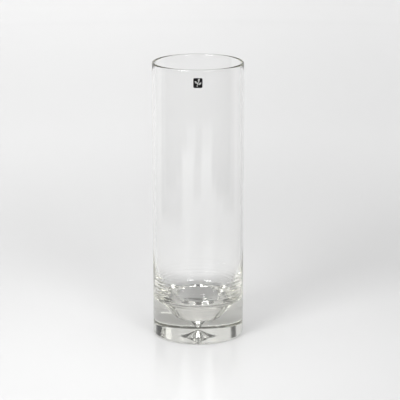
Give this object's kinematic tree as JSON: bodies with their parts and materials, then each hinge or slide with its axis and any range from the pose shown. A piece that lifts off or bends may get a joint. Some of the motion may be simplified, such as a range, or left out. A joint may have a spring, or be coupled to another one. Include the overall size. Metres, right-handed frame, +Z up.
{
  "type": "glass cylinder vase",
  "caption": "Tall clear glass cylinder vase with a thick solid base, a stepped hollow in the cavity floor and a small square black label below the rim.",
  "frame": {"origin": "centre of the plane that the foot rests on, on the vessel's axis", "axes": "+Z up along the vessel's axis to the mouth, -Y towards the label"},
  "size_m": [0.098, 0.0982, 0.3],
  "materials": {
    "clear_glass": "clear soda-lime glass, fire-polished, faint green in the thick base",
    "clear_adhesive": "thin clear acrylic adhesive, slightly milky at its edge",
    "black_film": "satin black label film",
    "silver_print": "thin silver-grey ink"
  },
  "bodies": {
    "root": {"glass_vessel": "clear_glass", "label_adhesive": "clear_adhesive", "label_film": "black_film", "label_print": "silver_print"}
  },
  "joints": []
}
